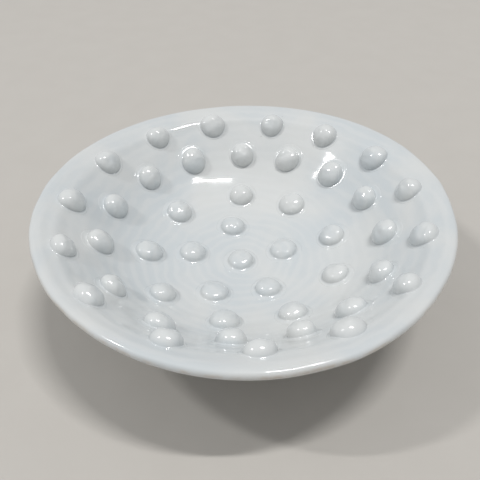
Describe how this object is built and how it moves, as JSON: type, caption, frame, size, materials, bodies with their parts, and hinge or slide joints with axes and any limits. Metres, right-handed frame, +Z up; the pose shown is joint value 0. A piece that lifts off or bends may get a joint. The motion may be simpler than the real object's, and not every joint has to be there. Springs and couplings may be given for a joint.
{
  "type": "flower frog bowl",
  "caption": "Shallow flared glazed bowl whose inner wall carries rings of domed nubs that hold flower stems between them, on a turned foot ring.",
  "frame": {"origin": "centre of the foot ring's resting face, on the table", "axes": "+Z up out of the bowl; the nub rings are counted from +X towards +Y"},
  "size_m": [0.28, 0.28, 0.0864],
  "materials": {
    "white_glaze": "clear gloss over a cool white, with faint throwing rings and a thin brownish edge on the rim",
    "bare_clay": "matt unglazed stoneware, wiped"
  },
  "bodies": {
    "root": {"bowl": "white_glaze", "foot_ring": "bare_clay", "nub_centre": "white_glaze", "nub_rim_01": "white_glaze", "nub_rim_02": "white_glaze", "nub_rim_03": "white_glaze", "nub_rim_04": "white_glaze", "nub_rim_05": "white_glaze", "nub_rim_06": "white_glaze", "nub_rim_07": "white_glaze", "nub_rim_08": "white_glaze", "nub_rim_09": "white_glaze", "nub_rim_10": "white_glaze", "nub_rim_11": "white_glaze", "nub_rim_12": "white_glaze", "nub_rim_13": "white_glaze", "nub_rim_14": "white_glaze", "nub_rim_15": "white_glaze", "nub_wall_01": "white_glaze", "nub_wall_02": "white_glaze", "nub_wall_03": "white_glaze", "nub_wall_04": "white_glaze", "nub_wall_05": "white_glaze", "nub_wall_06": "white_glaze", "nub_wall_07": "white_glaze", "nub_wall_08": "white_glaze", "nub_wall_09": "white_glaze", "nub_wall_10": "white_glaze", "nub_wall_11": "white_glaze", "nub_wall_12": "white_glaze", "nub_wall_13": "white_glaze", "nub_wall_14": "white_glaze", "nub_wall_15": "white_glaze", "nub_slope_01": "white_glaze", "nub_slope_02": "white_glaze", "nub_slope_03": "white_glaze", "nub_slope_04": "white_glaze", "nub_slope_05": "white_glaze", "nub_slope_06": "white_glaze", "nub_slope_07": "white_glaze", "nub_slope_08": "white_glaze", "nub_slope_09": "white_glaze", "nub_floor_01": "white_glaze", "nub_floor_02": "white_glaze", "nub_floor_03": "white_glaze", "nub_floor_04": "white_glaze", "nub_floor_05": "white_glaze"}
  },
  "joints": []
}
